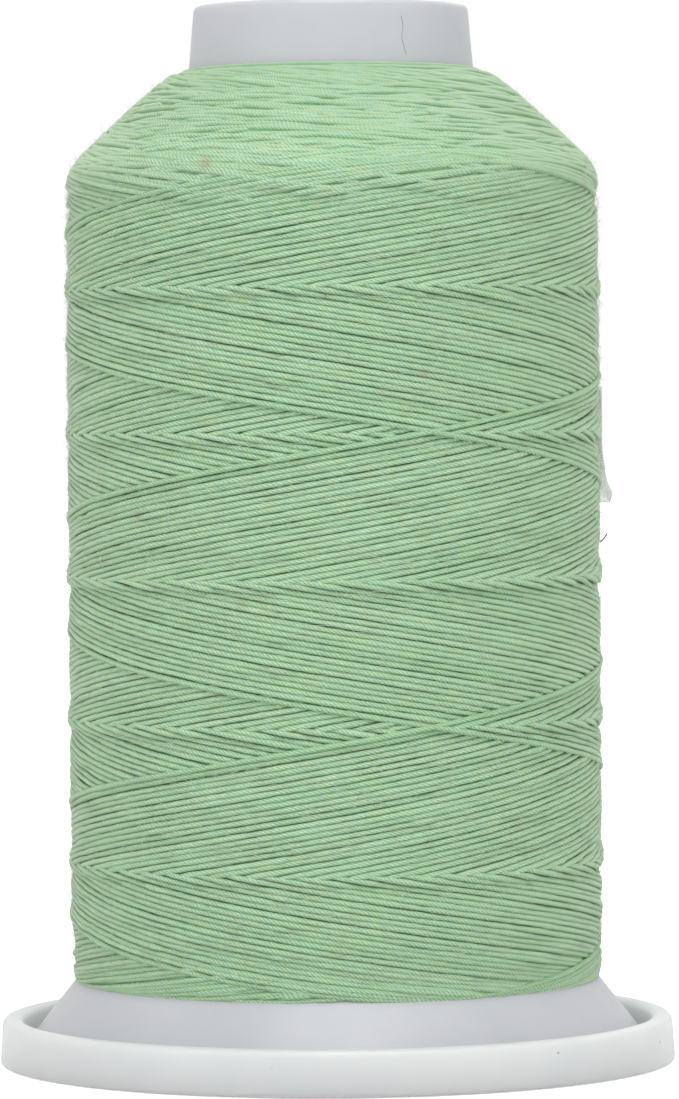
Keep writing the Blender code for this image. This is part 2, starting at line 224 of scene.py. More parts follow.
# Film tape, in millimetres, and degrees from the front. Fades, corners and the crease's top are
# shares of its length or height.
TAPE_HEIGHT = 9.0
TAPE_LENGTH = 14.0
TAPE_BOTTOM = 42.7
TAPE_START = 91.0
TAPE_THICKNESS = 0.05
TAPE_STANDOFF = 0.14
TAPE_COLUMNS = 24
TAPE_ROWS = 18
FLARE = 0.78
FLARE_HEIGHT = 4.6
FLARE_CURVE = 1.6
FLARE_FADE = 0.5
CREASE = 0.05
CREASE_ACROSS = 19.0
CREASE_UP = 5.0
CREASE_TOP = 0.8
CORNER_LIFT = 0.9
CORNER_WIDTH = 0.12
CORNER_HEIGHT = 0.2

# Patterns of the materials, as marks to the millimetre. Fibre marks run along a strand; real
# fibres are far finer and would not show.
FIBRE_MARKS = 2.6
WARM_PATCHES = 1.5
STAINS = 0.11
FLOW_MARKS = 0.10
SPECKS = 0.45
SCUFFS = 3.0
ORANGE_PEEL = 1.2
FILM_CREASES = 1.6
LINT_PATCHES = 2.0
FLOOR_GRAIN = 0.04

# Strand colour: painted shade from twist and crest, tone from fibres; and the range from valley to crown
TWIST_PAINTED_SHADE = 0.46
FIBRE_SHADE = 1.0
CREST_PAINTED_SHADE = 0.54
CREST_POWER = 3.4
VALLEY_LEVEL = 0.62
CROWN_LEVEL = 1.66
WHITE = (1.0, 1.0, 1.0, 1.0)

# Floor and lamps, in metres, but the gap under the spool in millimetres
FLOOR_SIZE = 3.0
FLOOR_GAP = 0.05
# Radii from the spool's axis over which the floor's painted glow to the eye rises from weak to full
FLOOR_GLOW_FADE = (0.04, 0.2)
WORLD_LIGHT = 0.34
LAMP_SIZE = 0.50
LAMP_TARGET = Vector((0.0, 0.0, 0.04))
LAMPS = {
    "key_above": ((0.0, -0.34, 0.62), 2.8),
    "fill_left": ((-0.55, -0.40, 0.25), 0.7),
    "fill_right": ((0.55, -0.40, 0.25), 0.7),
    "back_top": ((0.10, 0.50, 0.50), 0.8),
}

# Camera, in millimetres; the scale is the photograph's pixels to a millimetre at the spool
CAMERA_DISTANCE = 462
EYE_HEIGHT = 52.3
AIM_HEIGHT = 39.3
EYE_SIDEWAYS = 0.4
CAMERA_ROLL = math.radians(0.40)
SENSOR_HEIGHT = 24.0
PIXELS_PER_MM = 13.0
PHOTO_HEIGHT = 1099


def core_radius(z):
    return COLLAR_RADIUS + (SPOOL_HEIGHT - z) * CORE_TAPER


SKIRT_SLOPE = (SKIRT_FOOT_RADIUS - core_radius(SKIRT_ROOT_Z)) / (SKIRT_ROOT_Z - SKIRT_LAND_Z)
SNAP_BORE_RADIUS = core_radius(SKIRT_ROOT_Z) - CORE_WALL / math.cos(math.atan(CORE_TAPER))
SNAP_RING_RADIUS = SNAP_BORE_RADIUS - SNAP_CLEARANCE


def skirt_height(radius):
    return SKIRT_LAND_Z + (SKIRT_FOOT_RADIUS - radius) / SKIRT_SLOPE


def linear(hex_colour):
    """Linear RGBA of an sRGB hex colour."""
    values = [int(hex_colour[i : i + 2], 16) / 255 for i in (1, 3, 5)]
    return (*[v / 12.92 if v <= 0.04045 else ((v + 0.055) / 1.055) ** 2.4 for v in values], 1.0)


def wire(tree, target, links):
    """Gives a node's inputs, by name or number, a value each or a socket to read."""
    for name, value in links.items():
        if isinstance(value, bpy.types.NodeSocket):
            tree.links.new(value, target.inputs[name])
        else:
            target.inputs[name].default_value = value


def node(tree, kind, links=None, stops=(), **settings):
    """Adds a node: links are its inputs, settings its properties, stops a ramp's places and colours."""
    made = tree.nodes.new(kind)
    for name, value in settings.items():
        setattr(made, name, value)
    wire(tree, made, links or {})
    for index, (place, colour) in enumerate(stops):
        made.color_ramp.elements[index].position = place
        made.color_ramp.elements[index].color = linear(colour)
    return made


def new_material(name):
    material = bpy.data.materials.new(name)
    material.use_nodes = True
    tree = material.node_tree
    return material, tree, tree.nodes["Principled BSDF"]


def cotton_thread(name, valley, crown, warm_crown):
    """Plied cotton with a soft sheen: twisted plies wind round each strand; painted shade in the ply
    grooves and down its sides.
    """
    material, tree, shader = new_material(name)
    ply = node(tree, "ShaderNodeAttribute", attribute_name="ply")
    parts = node(tree, "ShaderNodeSeparateXYZ", {0: ply.outputs["Vector"]})
    around = node(
        tree, "ShaderNodeMath", {0: parts.outputs["Y"], 1: parts.outputs["X"]}, operation="ARCTAN2"
    )
    lobes = node(tree, "ShaderNodeMath", {0: around.outputs[0], 1: PLY_LOBES / 2}, operation="MULTIPLY")
    twist_rate = PLY_LOBES * math.pi / PLY_PITCH
    run = node(tree, "ShaderNodeMath", {0: parts.outputs["Z"], 1: twist_rate}, operation="MULTIPLY")
    phase = node(tree, "ShaderNodeMath", {0: lobes.outputs[0], 1: run.outputs[0]}, operation="SUBTRACT")
    wave = node(tree, "ShaderNodeMath", {0: phase.outputs[0]}, operation="SINE")
    ridge = node(tree, "ShaderNodeMath", {0: wave.outputs[0]}, operation="ABSOLUTE")

    place = node(tree, "ShaderNodeTexCoord")
    fibre = node(
        tree,
        "ShaderNodeTexNoise",
        {"Vector": ply.outputs["Vector"], "Scale": FIBRE_MARKS, "Detail": 3.0, "Roughness": 0.65},
    )
    patch = node(
        tree,
        "ShaderNodeTexNoise",
        {"Vector": place.outputs["Object"], "Scale": WARM_PATCHES / MM, "Detail": 2.0},
    )
    tone = node(tree, "ShaderNodeAttribute", attribute_name="tone")
    # Painted shade: a strand is painted darker down its sides, where it turns away from the package's
    # outward direction, and lightest on its crest
    outward = node(tree, "ShaderNodeAttribute", attribute_name="outward")
    shape = node(tree, "ShaderNodeNewGeometry")
    facing = node(
        tree,
        "ShaderNodeVectorMath",
        {0: shape.outputs["Normal"], 1: outward.outputs["Vector"]},
        operation="DOT_PRODUCT",
    )
    side = node(tree, "ShaderNodeMath", {0: facing.outputs["Value"], 1: 0.0}, operation="MAXIMUM")
    crest = node(tree, "ShaderNodeMath", {0: side.outputs[0], 1: CREST_POWER}, operation="POWER")
    # Painted shade: the grooves between the plies are painted darker than their ridges; each strand's
    # random tone is added
    twist = node(
        tree,
        "ShaderNodeMath",
        {0: ridge.outputs[0], 1: TWIST_PAINTED_SHADE, 2: tone.outputs["Fac"]},
        operation="MULTIPLY_ADD",
    )
    lift = node(
        tree,
        "ShaderNodeMath",
        {0: fibre.outputs["Fac"], 1: FIBRE_SHADE, 2: twist.outputs[0]},
        operation="MULTIPLY_ADD",
    )
    level = node(
        tree,
        "ShaderNodeMath",
        {0: crest.outputs[0], 1: CREST_PAINTED_SHADE, 2: lift.outputs[0]},
        operation="MULTIPLY_ADD",
    )
    # From valley to crown colour: painted shade and light, with the fibres' and strands' own tone
    shade = node(
        tree,
        "ShaderNodeMapRange",
        {"Value": level.outputs[0], "From Min": VALLEY_LEVEL, "From Max": CROWN_LEVEL},
    )
    cool = node(
        tree, "ShaderNodeValToRGB", {"Fac": shade.outputs[0]}, stops=((0.0, valley), (1.0, crown))
    )
    warm = node(
        tree, "ShaderNodeValToRGB", {"Fac": shade.outputs[0]}, stops=((0.0, valley), (1.0, warm_crown))
    )
    warmth = node(
        tree,
        "ShaderNodeValToRGB",
        {"Fac": patch.outputs["Fac"]},
        stops=((0.40, "#000000"), (0.62, "#FFFFFF")),
    )
    mixed = node(
        tree,
        "ShaderNodeMix",
        {0: warmth.outputs["Color"], 6: cool.outputs["Color"], 7: warm.outputs["Color"]},
        data_type="RGBA",
    )
    stain = node(
        tree,
        "ShaderNodeTexVoronoi",
        {"Vector": place.outputs["Object"], "Scale": STAINS / MM, "Randomness": 1.0},
    )
    stained = node(
        tree,
        "ShaderNodeMapRange",
        {
            "Value": stain.outputs["Distance"],
            "From Min": 0.03,
            "From Max": 0.09,
            "To Min": 0.42,
            "To Max": 0.0,
        },
    )
    speckled = node(
        tree,
        "ShaderNodeMix",
        {0: stained.outputs[0], 6: mixed.outputs[2], 7: linear("#AE9A85")},
        data_type="RGBA",
    )

    relief = node(
        tree,
        "ShaderNodeMath",
        {0: fibre.outputs["Fac"], 1: 0.5, 2: ridge.outputs[0]},
        operation="MULTIPLY_ADD",
    )
    bump = node(
        tree, "ShaderNodeBump", {"Strength": 0.9, "Distance": 0.07 * MM, "Height": relief.outputs[0]}
    )
    finish = {
        "Base Color": speckled.outputs[2],
        "Normal": bump.outputs["Normal"],
        "Roughness": 0.48,
        "IOR": 1.53,
        "Specular IOR Level": 0.5,
        "Sheen Weight": 0.6,
        "Sheen Roughness": 0.40,
        "Sheen Tint": linear("#DCDAC0"),
    }
    wire(tree, shader, finish)
    return material


def moulded_plastic(name, pale, dull, speck_rarity, milkiness, glow_depth):
    """White injection-moulded polypropylene: milky, softly glossy, with flow marks, scuffs and specks."""
    material, tree, shader = new_material(name)
    place = node(tree, "ShaderNodeTexCoord")
    cloud = node(
        tree,
        "ShaderNodeTexNoise",
        {"Vector": place.outputs["Object"], "Scale": FLOW_MARKS / MM, "Detail": 3.0},
    )
    body = node(
        tree, "ShaderNodeValToRGB", {"Fac": cloud.outputs["Fac"]}, stops=((0.3, dull), (0.7, pale))
    )
    speck = node(
        tree,
        "ShaderNodeTexVoronoi",
        {"Vector": place.outputs["Object"], "Scale": SPECKS / MM, "Randomness": 1.0},
    )
    spot = node(
        tree,
        "ShaderNodeMapRange",
        {
            "Value": speck.outputs["Distance"],
            "From Min": 0.035,
            "From Max": 0.065,
            "To Min": 0.8,
            "To Max": 0.0,
        },
    )
    chance = node(tree, "ShaderNodeSeparateColor", {0: speck.outputs["Color"]})
    rare = node(tree, "ShaderNodeMath", {0: chance.outputs[0], 1: speck_rarity}, operation="GREATER_THAN")
    dot = node(tree, "ShaderNodeMath", {0: spot.outputs[0], 1: rare.outputs[0]}, operation="MULTIPLY")
    dirt = node(
        tree,
        "ShaderNodeMix",
        {0: dot.outputs[0], 6: body.outputs["Color"], 7: linear("#8D8A80")},
        data_type="RGBA",
    )

    stretch = node(
        tree, "ShaderNodeMapping", {"Vector": place.outputs["Object"], "Scale": (1.0, 1.0, 0.12)}
    )
    scuff = node(
        tree,
        "ShaderNodeTexNoise",
        {"Vector": stretch.outputs[0], "Scale": SCUFFS / MM, "Detail": 4.0},
    )
    gloss = node(
        tree,
        "ShaderNodeMapRange",
        {
            "Value": scuff.outputs["Fac"],
            "From Min": 0.35,
            "From Max": 0.75,
            "To Min": 0.34,
            "To Max": 0.52,
        },
    )
    peel = node(
        tree,
        "ShaderNodeTexNoise",
        {"Vector": place.outputs["Object"], "Scale": ORANGE_PEEL / MM, "Detail": 2.0},
    )
    bump = node(
        tree, "ShaderNodeBump", {"Strength": 0.25, "Distance": 0.02 * MM, "Height": peel.outputs["Fac"]}
    )
    finish = {
        "Base Color": dirt.outputs[2],
        "Normal": bump.outputs["Normal"],
        "Roughness": gloss.outputs[0],
        "IOR": 1.49,
        "Subsurface Weight": milkiness,
        "Subsurface Radius": (1.0, 1.0, 1.0),
        "Subsurface Scale": glow_depth * MM,
    }
    wire(tree, shader, finish)
    return material


def clear_film(name):
    """Thin clear film, nearly unseen face on, with a faint haze, drawn-out creases and a wet gloss."""
    material, tree, shader = new_material(name)
    place = node(tree, "ShaderNodeTexCoord")
    stretch = node(
        tree, "ShaderNodeMapping", {"Vector": place.outputs["Object"], "Scale": (1.0, 1.0, 0.2)}
    )
    crease = node(
        tree,
        "ShaderNodeTexNoise",
        {"Vector": stretch.outputs[0], "Scale": FILM_CREASES / MM, "Detail": 3.0},
    )
    haze = node(
        tree,
        "ShaderNodeMapRange",
        {
            "Value": crease.outputs["Fac"],
            "From Min": 0.40,
            "From Max": 0.75,
            "To Min": 0.13,
            "To Max": 0.30,
        },
    )
    rim = node(tree, "ShaderNodeLayerWeight", {"Blend": 0.35})
    edge = node(
        tree,
        "ShaderNodeMath",
        {0: rim.outputs["Facing"], 1: 0.45, 2: haze.outputs[0]},
        operation="MULTIPLY_ADD",
    )
    colour = node(
        tree,
        "ShaderNodeValToRGB",
        {"Fac": crease.outputs["Fac"]},
        stops=((0.3, "#DDE3DB"), (0.7, "#F2F4F0")),
    )
    bump = node(
        tree, "ShaderNodeBump", {"Strength": 0.4, "Distance": 0.04 * MM, "Height": crease.outputs["Fac"]}
    )
    finish = {
        "Base Color": colour.outputs["Color"],
        "Alpha": edge.outputs[0],
        "Normal": bump.outputs["Normal"],
        "Roughness": 0.16,
    }
    wire(tree, shader, finish)
    return material


def loose_fibre(name, dark, pale):
    """Loose cotton fibre: finer than the eye parts, so the hairs together make a haze on the outline."""
    material, tree, shader = new_material(name)
    place = node(tree, "ShaderNodeTexCoord")
    mix = node(
        tree,
        "ShaderNodeTexNoise",
        {"Vector": place.outputs["Object"], "Scale": LINT_PATCHES / MM, "Detail": 1.0},
    )
    colour = node(
        tree, "ShaderNodeValToRGB", {"Fac": mix.outputs["Fac"]}, stops=((0.35, dark), (0.65, pale))
    )
    wire(tree, shader, {"Base Color": colour.outputs["Color"], "Roughness": 0.7, "Sheen Weight": 0.3})
    return material


def seen_directly(tree):
    """1 for rays from the eye, also by way of gloss or glass, and 0 for light that falls on the object."""
    rays = node(tree, "ShaderNodeLightPath")
    straight = node(
        tree,
        "ShaderNodeMath",
        {0: rays.outputs["Is Camera Ray"], 1: rays.outputs["Is Glossy Ray"]},
        operation="MAXIMUM",
    )
    seen = node(
        tree,
        "ShaderNodeMath",
        {0: straight.outputs[0], 1: rays.outputs["Is Transmission Ray"]},
        operation="MAXIMUM",
    )
    return seen.outputs[0]


def pale_floor(name):
    """Matt white paint with a painted glow to the eye: white farther off, weaker near the spool, where its
    real shadow shows grey.
    """
    material, tree, shader = new_material(name)
    place = node(tree, "ShaderNodeTexCoord")
    grain = node(
        tree, "ShaderNodeTexNoise", {"Vector": place.outputs["Object"], "Scale": FLOOR_GRAIN / MM}
    )
    colour = node(
        tree,
        "ShaderNodeValToRGB",
        {"Fac": grain.outputs["Fac"]},
        stops=((0.3, "#EDEDED"), (0.7, "#F1F1F1")),
    )
    away = node(tree, "ShaderNodeVectorMath", {0: place.outputs["Object"]}, operation="LENGTH")
    glow_fade_start, glow_fade_end = FLOOR_GLOW_FADE
    level = node(
        tree,
        "ShaderNodeMapRange",
        {
            "Value": away.outputs["Value"],
            "From Min": glow_fade_start,
            "From Max": glow_fade_end,
            "To Min": 0.7,
            "To Max": 1.0,
        },
    )
    # Painted glow: the floor glows to the eye, less near the spool
    glow = node(tree, "ShaderNodeMath", {0: seen_directly(tree), 1: level.outputs[0]}, operation="MULTIPLY")
    finish = {
        "Base Color": colour.outputs["Color"],
        "Roughness": 0.8,
        "Specular IOR Level": 0.1,
        "Emission Color": WHITE,
        "Emission Strength": glow.outputs[0],
    }
    wire(tree, shader, finish)
    return material


def add_object(name, data):
    made = bpy.data.objects.new(name, data)
    bpy.context.scene.collection.objects.link(made)
    return made


def add_piece(name, mesh, material, body, slot, *nodes):
    piece = add_object(name, mesh)
    mesh.materials.append(material)
    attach(piece, body)
    if nodes:
        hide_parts(*nodes)
    return piece


def finished_mesh(shape, name):
    """The mesh of a bmesh that is done with."""
    mesh = bpy.data.meshes.new(name)
    shape.to_mesh(mesh)
    shape.free()
    return mesh


def evaluated_mesh(thing):
    """The mesh that an object's curve or modifiers make."""
    graph = bpy.context.evaluated_depsgraph_get()
    return bpy.data.meshes.new_from_object(thing.evaluated_get(graph))


def keep_vectors(mesh, name, vectors):
    """Stores a vector for each vertex, for the materials to read."""
    mesh.attributes.new(name, "FLOAT_VECTOR", "POINT").data.foreach_set("vector", vectors.ravel())


def on_spool(radius, bearing, height):
    """Point in metres at a radius and height in millimetres; the bearing is in radians from the front."""
    return np.stack([radius * np.sin(bearing), -radius * np.cos(bearing), height], axis=-1) * MM


def turned_mesh(name, corners):
    """A closed outline of (radius, height, fillet) in millimetres, spun about Z."""
    shape = bmesh.new()
    places = [Vector((radius, 0.0, height)) * MM for radius, height, _ in corners]
    points = []
    for index, (_, _, fillet) in enumerate(corners):
        here = places[index]
        before = places[index - 1] - here
        after = places[(index + 1) % len(places)] - here
        if not fillet:
            points.append(here)
            continue
        reach = fillet * MM / math.tan(before.angle(after) / 2)
        reach = min(reach, FILLET_SHARE * before.length, FILLET_SHARE * after.length)
        first = here + before.normalized() * reach
        last = here + after.normalized() * reach
        for step in range(FILLET_STEPS + 1):
            share = step / FILLET_STEPS
            points.append(first.lerp(here, share).lerp(here.lerp(last, share), share))
    verts = [shape.verts.new(point) for point in points]
    edges = [shape.edges.new((verts[i], verts[(i + 1) % len(verts)])) for i in range(len(verts))]
    bmesh.ops.spin(
        shape,
        geom=verts + edges,
        cent=(0, 0, 0),
        axis=(0, 0, 1),
        angle=math.tau,
        steps=TURN_STEPS,
        use_merge=True,
    )
    bmesh.ops.remove_doubles(shape, verts=shape.verts, dist=MERGE_DISTANCE * MM)
    bmesh.ops.recalc_face_normals(shape, faces=shape.faces)
    mesh = finished_mesh(shape, name)
    mesh.shade_smooth()
    mesh.set_sharp_from_angle(angle=SHARP_ANGLE)
    return mesh


def build_core(plastic):
    """Tapered tube with its flared skirt, the web for the spool pin, and the snap bore with its groove."""
    wall = CORE_WALL / math.cos(math.atan(CORE_TAPER))
    skirt_wall = CORE_WALL / math.cos(math.atan(SKIRT_SLOPE))
    skirt_inner = SKIRT_FOOT_RADIUS - skirt_wall
    bore = SNAP_BORE_RADIUS
    spigot = bore + SPIGOT_WALL
    groove = bore + GROOVE_DEPTH
    groove_top = SKIRT_ROOT_Z - GROOVE_BELOW_ROOT
    groove_bottom = groove_top - GROOVE_HEIGHT
    spigot_foot = groove_bottom - GROOVE_LIP
    web_top = SPOOL_HEIGHT - WEB_RECESS
    web_bottom = web_top - WEB_THICKNESS
    bush = PIN_BORE_RADIUS + BUSH_WALL
    bush_foot = web_bottom - BUSH_LENGTH
    corners = [
        (COLLAR_RADIUS, SPOOL_HEIGHT, 0.5),
        (core_radius(SKIRT_ROOT_Z), SKIRT_ROOT_Z, 0.4),
        (SKIRT_FOOT_RADIUS, SKIRT_LAND_Z, 0.25),
        (SKIRT_FOOT_RADIUS, SKIRT_FOOT_Z, 0.15),
        (skirt_inner, SKIRT_FOOT_Z, 0.15),
        (skirt_inner, SKIRT_LAND_Z, 0),
        (spigot, skirt_height(spigot + skirt_wall), 0.3),
        (spigot, spigot_foot, 0.15),
        (bore, spigot_foot, 0.3),
        (bore, groove_bottom, 0),
        (groove, groove_bottom, 0),
        (groove, groove_top, 0),
        (bore, groove_top, 0),
        (bore, SKIRT_ROOT_Z, 0),
        (core_radius(web_bottom) - wall, web_bottom, 0.3),
        (bush, web_bottom, 0.3),
        (bush, bush_foot, 0.15),
        (PIN_BORE_RADIUS, bush_foot, 0.15),
        (PIN_BORE_RADIUS, web_top, 0.5),
        (core_radius(web_top) - wall, web_top, 0.35),
        (COLLAR_RADIUS - wall, SPOOL_HEIGHT, 0.45),
    ]
    mesh = turned_mesh("core_shell", corners)
    add_piece("core_shell", mesh, plastic, "spool", "core_plastic", "spool_core")


def build_base(plastic):
    """Rimmed dish with the hub for the spool pin and the snap ring with its bead."""
    rim_top = BASE_RADIUS - RIM_DRAFT
    rim_inner = rim_top - RIM_WALL
    foot_ring = BASE_RADIUS - FOOT_RING_WIDTH
    hub = PIN_BORE_RADIUS + HUB_WALL
    hub_top = FLOOR_THICKNESS + HUB_HEIGHT
    ring_inner = SNAP_RING_RADIUS - SNAP_RING_WALL
    corners = [
        (rim_top, RIM_HEIGHT, 0.6),
        (BASE_RADIUS, 0.0, 0.35),
        (foot_ring, 0.0, 0.2),
        (foot_ring, FOOT_RECESS, 0.1),
        (PIN_BORE_RADIUS, FOOT_RECESS, 0.3),
        (PIN_BORE_RADIUS, hub_top, 0.3),
        (hub, hub_top, 0.2),
        (hub, FLOOR_THICKNESS, 0.3),
        (ring_inner, FLOOR_THICKNESS, 0.3),
        (ring_inner, SNAP_RING_TOP, 0.15),
        (SNAP_RING_RADIUS - SNAP_LEAD_IN, SNAP_RING_TOP, 0.15),
        (SNAP_RING_RADIUS, BEAD_Z + BEAD_HALF_HEIGHT, 0.1),
        (SNAP_RING_RADIUS + BEAD_DEPTH, BEAD_Z, 0.25),
        (SNAP_RING_RADIUS, BEAD_Z - BEAD_HALF_HEIGHT, 0.1),
        (SNAP_RING_RADIUS, FLOOR_THICKNESS, 0.3),
        (rim_inner, FLOOR_THICKNESS, 0.4),
        (rim_inner, RIM_HEIGHT, 0.6),
    ]
    mesh = turned_mesh("dish_base", corners)
    cut_finger_slots(add_piece("dish_base", mesh, plastic, "base", "base_plastic", "snap_base"))


def cut_finger_slots(base):
    """Parts the snap ring into sprung fingers, down to a low root."""
    shape = bmesh.new()
    low = FLOOR_THICKNESS + FINGER_ROOT
    length = 2 * SNAP_RING_WALL + FINGER_SLOT_OVERCUT
    size = Vector((length, FINGER_SLOT_WIDTH, FINGER_SLOT_TOP - low)) * MM
    centre = Vector((SNAP_RING_RADIUS - SNAP_RING_WALL / 2, 0.0, (low + FINGER_SLOT_TOP) / 2)) * MM
    slot = Matrix.Translation(centre) @ Matrix.Diagonal((*size, 1.0))
    for finger in range(SNAP_FINGERS):
        turn = Matrix.Rotation(math.tau * (finger + 0.5) / SNAP_FINGERS, 4, "Z")
        bmesh.ops.create_cube(shape, size=1.0, matrix=turn @ slot)
    cutter = add_object("finger_slots", finished_mesh(shape, "finger_slots"))
    slots = base.modifiers.new("slots", "BOOLEAN")
    slots.operation = "DIFFERENCE"
    slots.solver = "EXACT"
    slots.object = cutter
    slotted = evaluated_mesh(base)
    base.modifiers.clear()
    base.data = slotted
    slotted.set_sharp_from_angle(angle=SHARP_ANGLE)
    bpy.data.objects.remove(cutter)


def wobble(rng, angles, amplitude):
    """A slow smooth drift along the winding."""
    total = np.zeros_like(angles)
    for turns in DRIFT_RATES:
        total += np.sin(np.radians(angles * turns) + rng.uniform(0, math.tau))
    return amplitude * total / 2


def cover_path(rng, top, bottom, tip_scatter):
    """Angle and height, degree by degree, of the passes that cover the package once, oldest first."""
    slope = LEAD / 360
    dwell = (STROKE_ANGLE - 360 * (top - bottom) / LEAD) / 2
    if top > SHOULDER_Z + 2 * COVER_BUILD / SHOULDER_SLOPE:
        dwell = TIP_DWELL
    crossing = dwell + 360 * (top - NEWEST_CROSSING_Z) / LEAD
    to_crossing = math.sqrt(max(crossing**2 - dwell**2, 0.0))
    newest_tip = NEWEST_CROSSING_ANGLE - to_crossing
    length = 2 * STROKE_ANGLE * CYCLES
    turned = np.arange(0, int(length), 1.0)
    stroke = np.floor(turned / STROKE_ANGLE).astype(int)
    inside = turned - stroke * STROKE_ANGLE
    down = stroke % 2 == 0
    rounded_from = np.hypot(inside, dwell) - abs(dwell)
    rounded_to = np.hypot(STROKE_ANGLE - inside, dwell) - abs(dwell)
    first_half = inside < STROKE_ANGLE / 2
    drop = np.where(first_half, slope * rounded_from, (top - bottom) - slope * rounded_to)
    height = np.where(down, top - drop, bottom + drop)

    tips = rng.normal(0.0, DRIFT, stroke.max() + 2)
    scatter = rng.normal(0.0, tip_scatter, stroke.max() + 2)
    scatter = np.where(np.arange(len(scatter)) % 2 == 0, -np.abs(scatter), np.abs(scatter))
    share = inside / STROKE_ANGLE
    height += tips[stroke] * (1 - share) + tips[stroke + 1] * share
    height += scatter[stroke] * np.exp(-((inside / TIP_REACH) ** 2))
    height += scatter[stroke + 1] * np.exp(-(((STROKE_ANGLE - inside) / TIP_REACH) ** 2))
    height += wobble(rng, turned, DRIFT)
    first_tip = newest_tip - 2 * STROKE_ANGLE * (CYCLES - 1)
    return first_tip + turned, height, inside, down


def package_radius(height):
    """Outside radius of the finished package, with its upper corner and lower edge rounded."""
    shoulder = PACKAGE_RADIUS - (height - SHOULDER_Z) * SHOULDER_SLOPE
    difference = shoulder - PACKAGE_RADIUS
    upper = (shoulder + PACKAGE_RADIUS - np.sqrt(difference**2 + EDGE_ROUNDING**2)) / 2
    above = np.minimum(height - THREAD_TOP, COLLAR_DRAW_LIMIT)
    below = np.maximum(height - PASS_BOTTOM, -FOOT_DRAW_LIMIT)
    at_collar = COLLAR_DRAW_IN * np.exp(above / COLLAR_DRAW_HEIGHT)
    return upper - at_collar - FOOT_DRAW_IN * np.exp(-below / FOOT_DRAW_HEIGHT)


def on_shoulder(height):
    """0 below the shoulder and 1 on it, where the strands lie flatter and spread."""
    return np.clip((height - SHOULDER_Z + SHOULDER_LEAD) / SHOULDER_BLEND, 0.0, 1.0)


def map_cell(angle, height, step=0):
    """Column and row of the map at places on the package, some rows up or down."""
    column = np.round(angle).astype(int) % MAP_ANGLES
    return column, np.clip(np.round(height / MAP_STEP + step).astype(int), 0, MAP_ROWS - 1)


def bulge(step):
    """How far a strand's outside stands from its middle line, some rows up or down."""
    return math.sqrt(max((STRAND / 2) ** 2 - (step * MAP_STEP) ** 2, 0.0))


def rest_on(surface, angle, height):
    """Radius at which a strand lies on the map, eased along its length as a taut thread is."""
    found = np.zeros_like(height)
    for step in range(-SUPPORT_ROWS, SUPPORT_ROWS + 1):
        found = np.maximum(found, surface[map_cell(angle, height, step)] + bulge(step))
    padded = np.pad(found, TAUT_WINDOW, mode="edge")
    shifted = [padded[i : i + len(found)] for i in range(2 * TAUT_WINDOW + 1)]
    return 0.5 * np.max(shifted, axis=0) + 0.5 * np.mean(shifted, axis=0) - SINKING * STRAND


def press_in(surface, angle, height, radius):
    """Adds a strand to the map."""
    reach = int(STRAND / 2 / MAP_STEP)
    for step in range(-reach, reach + 1):
        cell = map_cell(angle, height, step)
        surface[cell] = np.maximum(surface[cell], radius + bulge(step))


def wind_package():
    """Lays every cover in turn and returns the passes, with the finished map of the surface."""
    rng = np.random.default_rng(SEED)
    heights = np.arange(MAP_ROWS) * MAP_STEP
    surface = np.tile(core_radius(heights), (MAP_ANGLES, 1))
    passes = []
    for cover in range(COVERS):
        under = COVER_BUILD * (COVERS - cover)
        fill = PACKAGE_RADIUS - max(under, FULL_BUILD)
        top = SHOULDER_Z + (under - COVER_BUILD) / SHOULDER_SLOPE
        filled = (heights < top - FILL_GAP) & (heights > skirt_height(fill))
        surface[:, filled] = np.maximum(surface[:, filled], fill)
        full = cover >= COVERS - FULL_COVERS
        tip_scatter = FULL_TIP_SCATTER if full else TIP_SCATTER
        angle, height, inside, down = cover_path(rng, top, PASS_BOTTOM, tip_scatter)
        to_tip = np.where(down, inside, STROKE_ANGLE - inside)
        wanted = np.ones_like(down) if full else to_tip < TIP_SPAN
        edges = np.diff(np.concatenate([[0], wanted.astype(int), [0]]))
        for start, end in zip(np.flatnonzero(edges == 1), np.flatnonzero(edges == -1)):
            radius = np.zeros(end - start)
            for low in range(start, end, LAYING_BLOCK):
                high = min(low + LAYING_BLOCK, end)
                first, last = max(low - BLOCK_OVERLAP, start), min(high + BLOCK_OVERLAP, end)
                lying = rest_on(surface, angle[first:last], height[first:last])
                radius[low - start : high - start] = lying[low - first : high - first]
                press_in(surface, angle[low:high], height[low:high], lying[low - first : high - first])
            passes.append((angle[start:end], height[start:end], radius))
    return passes, surface


def settled(passes, surface):
    """Radius of each pass once winding tension has drawn the whole package in to its outline.

    What stays is how far a strand stands above or below its neighbours.
    """
    excess = surface - package_radius(np.arange(MAP_ROWS) * MAP_STEP)
    level = sum(np.roll(excess, step, axis=0) for step in range(-EASE_COLUMNS, EASE_COLUMNS + 1))
    level = sum(np.roll(level, step, axis=1) for step in range(-EASE_ROWS, EASE_ROWS + 1))
    level /= (2 * EASE_COLUMNS + 1) * (2 * EASE_ROWS + 1)
    drawn = []
    for angle, height, radius in passes:
        outline = package_radius(height)
        crowding = level[map_cell(angle, height)]
        above = radius + STRAND / 2 - outline - crowding
        relief = RELIEF / (1 + np.maximum(crowding - CROWDING_ALLOWED, 0.0) / CROWDING_SPAN)
        relief *= 1 - SHOULDER_FLATTENING * on_shoulder(height)
        stands = np.clip(relief * above, -LOWEST_STRAND * STRAND, HIGHEST_STRAND * STRAND)
        drawn.append(outline - STRAND_SEAT * STRAND + stands)
    return drawn


